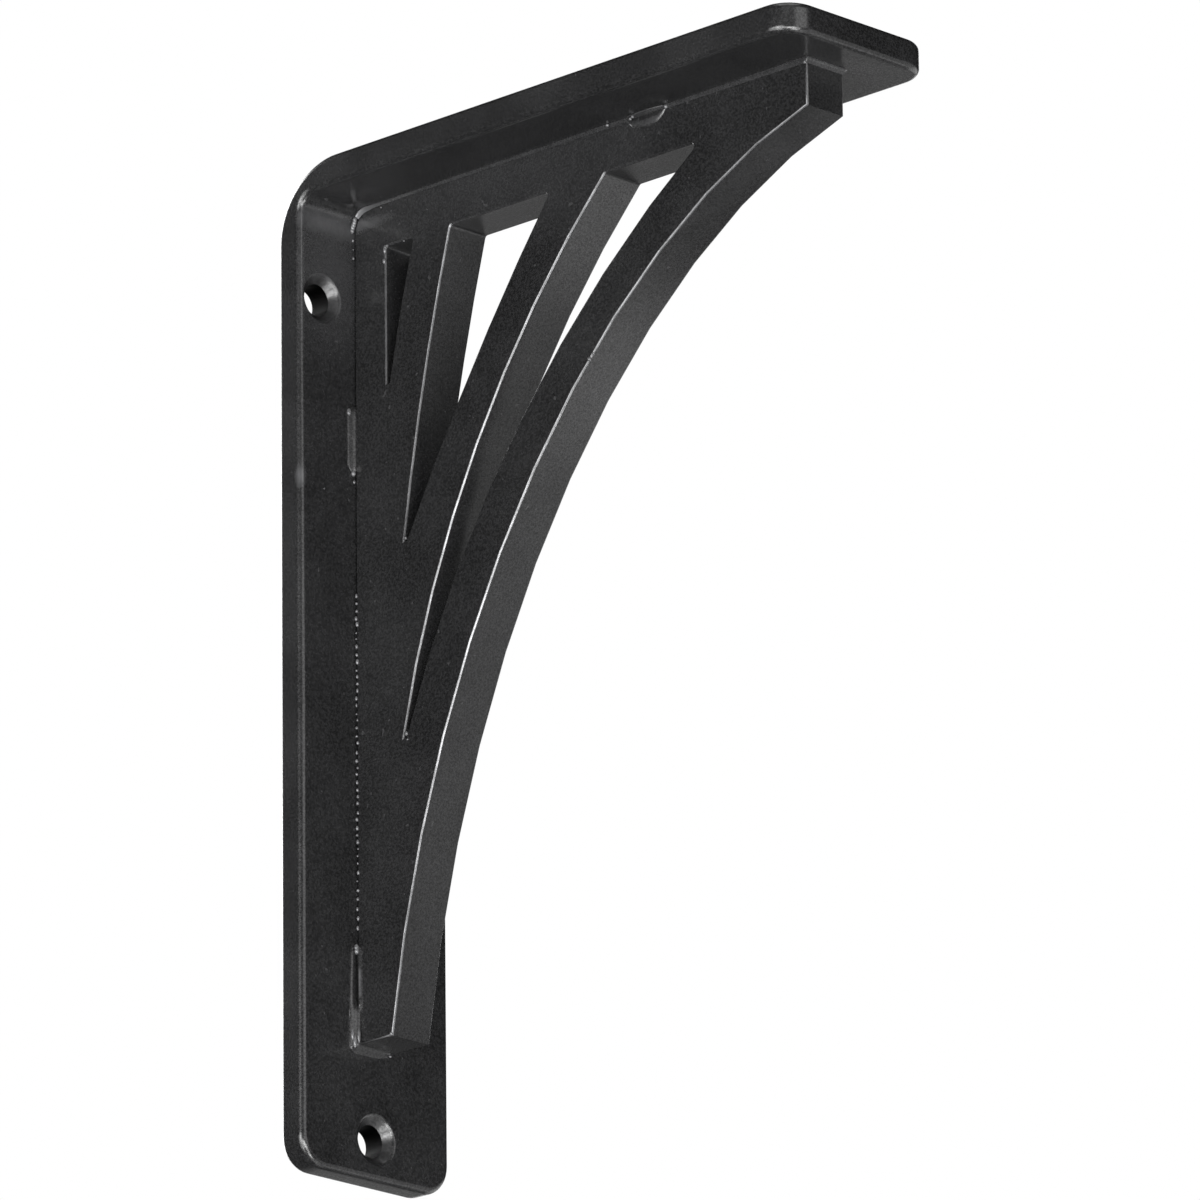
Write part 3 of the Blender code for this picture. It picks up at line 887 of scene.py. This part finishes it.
def seam_line():
    """Places along the bar's inner face, from the middle of its bend to the plate's tip, each
    with its way out of the bar and the paint's reach there."""
    tip = web_outline()[-FRONT_FACETS - 1].x
    bend_centre = Vector((BAR_THICKNESS + BEND_INNER_RADIUS, SOFFIT - BEND_INNER_RADIUS))
    line = []
    swell = ((0, START_LEGS), (SEAM_SWELL_STEPS, CORNER_LEGS), (SEAM_BEND_STEPS, CORNER_LEGS))
    for step in range(SEAM_BEND_STEPS + 1):
        turn = SEAM_START + (SEAM_END - SEAM_START) * step / SEAM_BEND_STEPS
        outwards = Vector((cos(turn), sin(turn)))
        legs = between(swell, step)
        way = -OUT * outwards.x - UP * outwards.y
        line.append((bend_centre + outwards * BEND_INNER_RADIUS, way, legs))
    reaches = ((bend_centre.x, CORNER_LEGS), *SEAM_LEGS, (tip, TIP_LEGS))
    for step in range(1, SEAM_STEPS + 1):
        along = bend_centre.x + (tip - bend_centre.x) * step / SEAM_STEPS
        line.append((Vector((along, SOFFIT)), -UP, between(reaches, along)))
    return line


def build_seam_paint(material):
    """Fillet of paint that closes the plate's top seam on both sides and across its tip."""
    rings = []
    line = seam_line()
    for point, way, legs in line:
        corner = Vector((point.x, -FLANK, point.y))
        rings.append(bead_ring(corner, -ACROSS, way, legs, HOLLOW_SECTION))
    tip = line[-1][0].x
    for side in (-1, 1):
        corner = Vector((tip, side * FLANK, SOFFIT))
        for step in range(1, TIP_CORNER_STEPS):
            turn = pi / 2 * step / TIP_CORNER_STEPS
            sideways = cos(turn) if side < 0 else sin(turn)
            outwards = sin(turn) if side < 0 else cos(turn)
            bar_way = ACROSS * side * sideways + OUT * outwards
            rings.append(bead_ring(corner, bar_way, -UP, TIP_LEGS, HOLLOW_SECTION))
        if side < 0:
            for step in range(TIP_STEPS + 1):
                place = Vector((tip, FLANK * (2 * step / TIP_STEPS - 1), SOFFIT))
                rings.append(bead_ring(place, OUT, -UP, TIP_LEGS, HOLLOW_SECTION))
    for point, way, legs in reversed(line):
        corner = Vector((point.x, FLANK, point.y))
        rings.append(bead_ring(corner, ACROSS, way, legs, HOLLOW_SECTION))
    paint = add_piece("seam_paint", loft(rings), material)
    # Painted highlight along the seam paint, strongest in the bend
    mark_painted_highlight(paint, lambda place: between(SEAM_HIGHLIGHT, place.x - line[0][0].x)[0])


def build_seam_core(material):
    """Paint and weld metal deep in the wall seam and its bend, which closes the gap there."""
    side = FLANK - SEAM_DEPTH
    bend = SOFFIT - BEND_INNER_RADIUS
    boxes = (
        ((BAR_THICKNESS - BURIED, -side, FOOT + SEAM_DEPTH), (WEB_LOW.x + BURIED, side, bend)),
        ((BAR_THICKNESS - BURIED, -side, bend), (BAR_THICKNESS + BEND_INNER_RADIUS, side, SOFFIT)),
    )
    bm = bmesh.new()
    for low, high in boxes:
        low, high = Vector(low), Vector(high)
        size = Matrix.Diagonal((*(high - low), 1))
        bmesh.ops.create_cube(bm, size=1, matrix=Matrix.Translation((low + high) / 2) @ size)
    add_piece("seam_core", bm, material)


def spatter_places():
    """Places and radii of the spatter, with the strings of small beads down the wall seam."""
    places = [(Vector((out, across, -below)) * MM + UP * TOP, radius * MM, stretch)
              for out, across, below, radius, stretch in SPATTER]
    chance = Random(SPATTER_SEED)
    for side, sparseness in SEAM_BEAD_SIDES:
        below = SEAM_BEADS[0]
        while below < SEAM_BEADS[1]:
            out = BAR_THICKNESS + chance.uniform(*SEAM_BEAD_OUT)
            radius = chance.uniform(*SEAM_BEAD_RADIUS)
            place = Vector((out, side * (FLANK + SEAM_BEAD_ASIDE), TOP - below))
            places.append((place, radius, chance.uniform(*SEAM_BEAD_STRETCH)))
            below += chance.uniform(*SEAM_BEAD_STEP) * sparseness
    return places


def build_spatter(material):
    """Small beads of paint and spatter, each pale and glossy all over, a painted highlight like
    the plate's edges.
    """
    bm = bmesh.new()
    for place, radius, stretch in spatter_places():
        size = Matrix.Diagonal((radius, radius, radius * stretch, 1))
        bmesh.ops.create_icosphere(bm, subdivisions=2, radius=1,
                                   matrix=Matrix.Translation(place) @ size)
    spatter = add_piece("spatter", bm, material)
    # Painted highlight all over the spatter
    mark_painted_highlight(spatter, lambda place: SPATTER_HIGHLIGHT)


def add_camera():
    """The camera of the photograph."""
    data = bpy.data.cameras.new("camera")
    data.lens = CAMERA_LENS
    data.sensor_width = SENSOR_WIDTH
    camera = bpy.data.objects.new("camera", data)
    bpy.context.collection.objects.link(camera)
    turned = (CAMERA_AIM - CAMERA_PLACE).to_track_quat("-Z", "Y").to_matrix().to_4x4()
    rolled = turned @ Matrix.Rotation(-CAMERA_ROLL, 4, "Z")
    camera.matrix_world = Matrix.Translation(CAMERA_PLACE) @ rolled
    bpy.context.scene.camera = camera


def add_floor():
    """Plain pale floor, far below the bracket so that a camera under it still sees past it."""
    bm = bmesh.new()
    bmesh.ops.create_grid(bm, x_segments=1, y_segments=1, size=FLOOR_HALF_SIZE)
    bmesh.ops.translate(bm, verts=bm.verts, vec=(0, 0, FLOOR_HEIGHT))
    mesh = bpy.data.meshes.new("floor")
    bm.to_mesh(mesh)
    bm.free()
    material, shader = new_material("floor_white")
    shader.inputs["Base Color"].default_value = FLOOR_COLOUR
    shader.inputs["Roughness"].default_value = 1
    shader.inputs["Emission Color"].default_value = WHITE
    tree = material.node_tree
    path = tree.nodes.new("ShaderNodeLightPath")
    glow = add_math(tree, "MULTIPLY", path.outputs["Is Camera Ray"], FLOOR_GLOW)
    tree.links.new(glow, shader.inputs["Emission Strength"])
    mesh.materials.append(material)
    floor = bpy.data.objects.new("floor", mesh)
    bpy.context.collection.objects.link(floor)


def add_light(name, towards, distance, size, power):
    """Square soft light in one direction from the bracket, facing it."""
    data = bpy.data.lights.new(name, "AREA")
    data.shape = "SQUARE"
    data.size = size
    data.energy = power
    light = bpy.data.objects.new(name, data)
    bpy.context.collection.objects.link(light)
    place = Vector(towards).normalized() * distance
    facing = (-place).to_track_quat("-Z", "Y").to_matrix().to_4x4()
    light.matrix_world = Matrix.Translation(place) @ facing
    light.visible_camera = False


def add_lights():
    """Ring of soft lights that gives the photograph's reflections."""
    for name, (compass, height, size, power) in LIGHTS.items():
        level = cos(radians(height))
        towards = (level * cos(radians(compass)), level * sin(radians(compass)),
                   sin(radians(height)))
        add_light(name, towards, LIGHT_DISTANCE, size, power)


def add_world():
    """White surroundings for the camera, which light nothing."""
    world = bpy.data.worlds.new("studio")
    world.use_nodes = True
    bpy.context.scene.world = world
    nodes = world.node_tree.nodes
    background = nodes["Background"]
    background.inputs["Color"].default_value = WHITE
    path = nodes.new("ShaderNodeLightPath")
    world.node_tree.links.new(path.outputs["Is Camera Ray"], background.inputs["Strength"])


def build_bracket():
    """Every piece of the bracket with its paint."""
    groups = {"powder_coat": powder_coat_group(), "wear_and_sheen_spot": wear_and_sheen_spot_group()}
    bar_black = black_paint("bar_black", groups, PAINT_ROUGHNESS, BAR_SPOTS)
    web_black = black_paint("web_black", groups, PAINT_ROUGHNESS, WEB_SPOTS)
    weld_black = black_paint("weld_black", groups, WELD_ROUGHNESS, WELD_SPOTS)
    build_bar(bar_black)
    build_web(web_black)
    build_welds(weld_black)
    build_seam_paint(weld_black)
    build_seam_core(weld_black)
    build_spatter(weld_black)


build_bracket()
add_camera()
add_floor()
add_lights()
add_world()
bpy.context.scene.view_settings.view_transform = "Standard"
